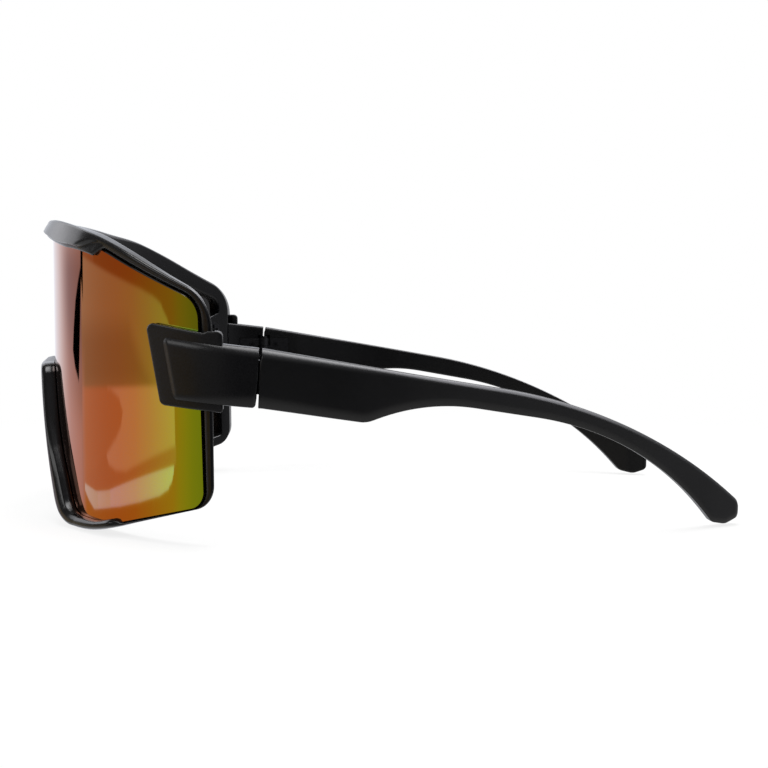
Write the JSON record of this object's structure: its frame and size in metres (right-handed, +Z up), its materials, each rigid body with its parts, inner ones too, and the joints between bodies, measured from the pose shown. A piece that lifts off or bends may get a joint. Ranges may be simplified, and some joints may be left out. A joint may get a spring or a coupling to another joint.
{
  "type": "shield sunglasses",
  "caption": "Wrap-around shield sunglasses: curved mirror lens in a moulded black frame with a brow bar and nose rim, matte endpieces and folding temples with screwed metal hinges.",
  "frame": {"origin": "middle of the base plane on which the lens lobes and the temple tips stand, centred from side to side and from front to back", "axes": "+Z up, +X to the wearer's left, +Y from the lens towards the temple tips"},
  "size_m": [0.14, 0.1702, 0.0731],
  "materials": {
    "frame_gloss": "smooth moulded black nylon with a soft gloss",
    "lens_coating": "tinted polycarbonate with an orange to gold and green mirror coating",
    "soft_rubber": "soft matte black rubber",
    "arm_matte": "fine matte moulded black",
    "temple_matte": "fine matte moulded black",
    "hinge_steel": "stamped steel with a thin black coating",
    "screw_steel": "turned steel, blackened"
  },
  "bodies": {
    "front": {"frame": "frame_gloss", "lens": "lens_coating", "nosepiece": "soft_rubber", "endpiece_left": "arm_matte", "endpiece_right": "arm_matte", "endpiece_screws": "screw_steel", "front_hinge_left": "hinge_steel", "front_hinge_right": "hinge_steel", "front_leaf_screws": "screw_steel", "hinge_screw_left": "screw_steel", "hinge_screw_right": "screw_steel"},
    "temple_left": {"temple_left": "temple_matte", "temple_hinge_left": "hinge_steel", "temple_leaf_screws_left": "screw_steel"},
    "temple_right": {"temple_right": "temple_matte", "temple_hinge_right": "hinge_steel", "temple_leaf_screws_right": "screw_steel"}
  },
  "joints": [
    {"name": "temple_left_fold", "type": "hinge", "parent": "front", "child": "temple_left", "pos_m": [0.06402, -0.02852, 0.03661], "axis": [0, 0, 1], "range_deg": [0, 90]},
    {"name": "temple_right_fold", "type": "hinge", "parent": "front", "child": "temple_right", "pos_m": [-0.06402, -0.02852, 0.03661], "axis": [0, 0, -1], "range_deg": [0, 82]}
  ]
}
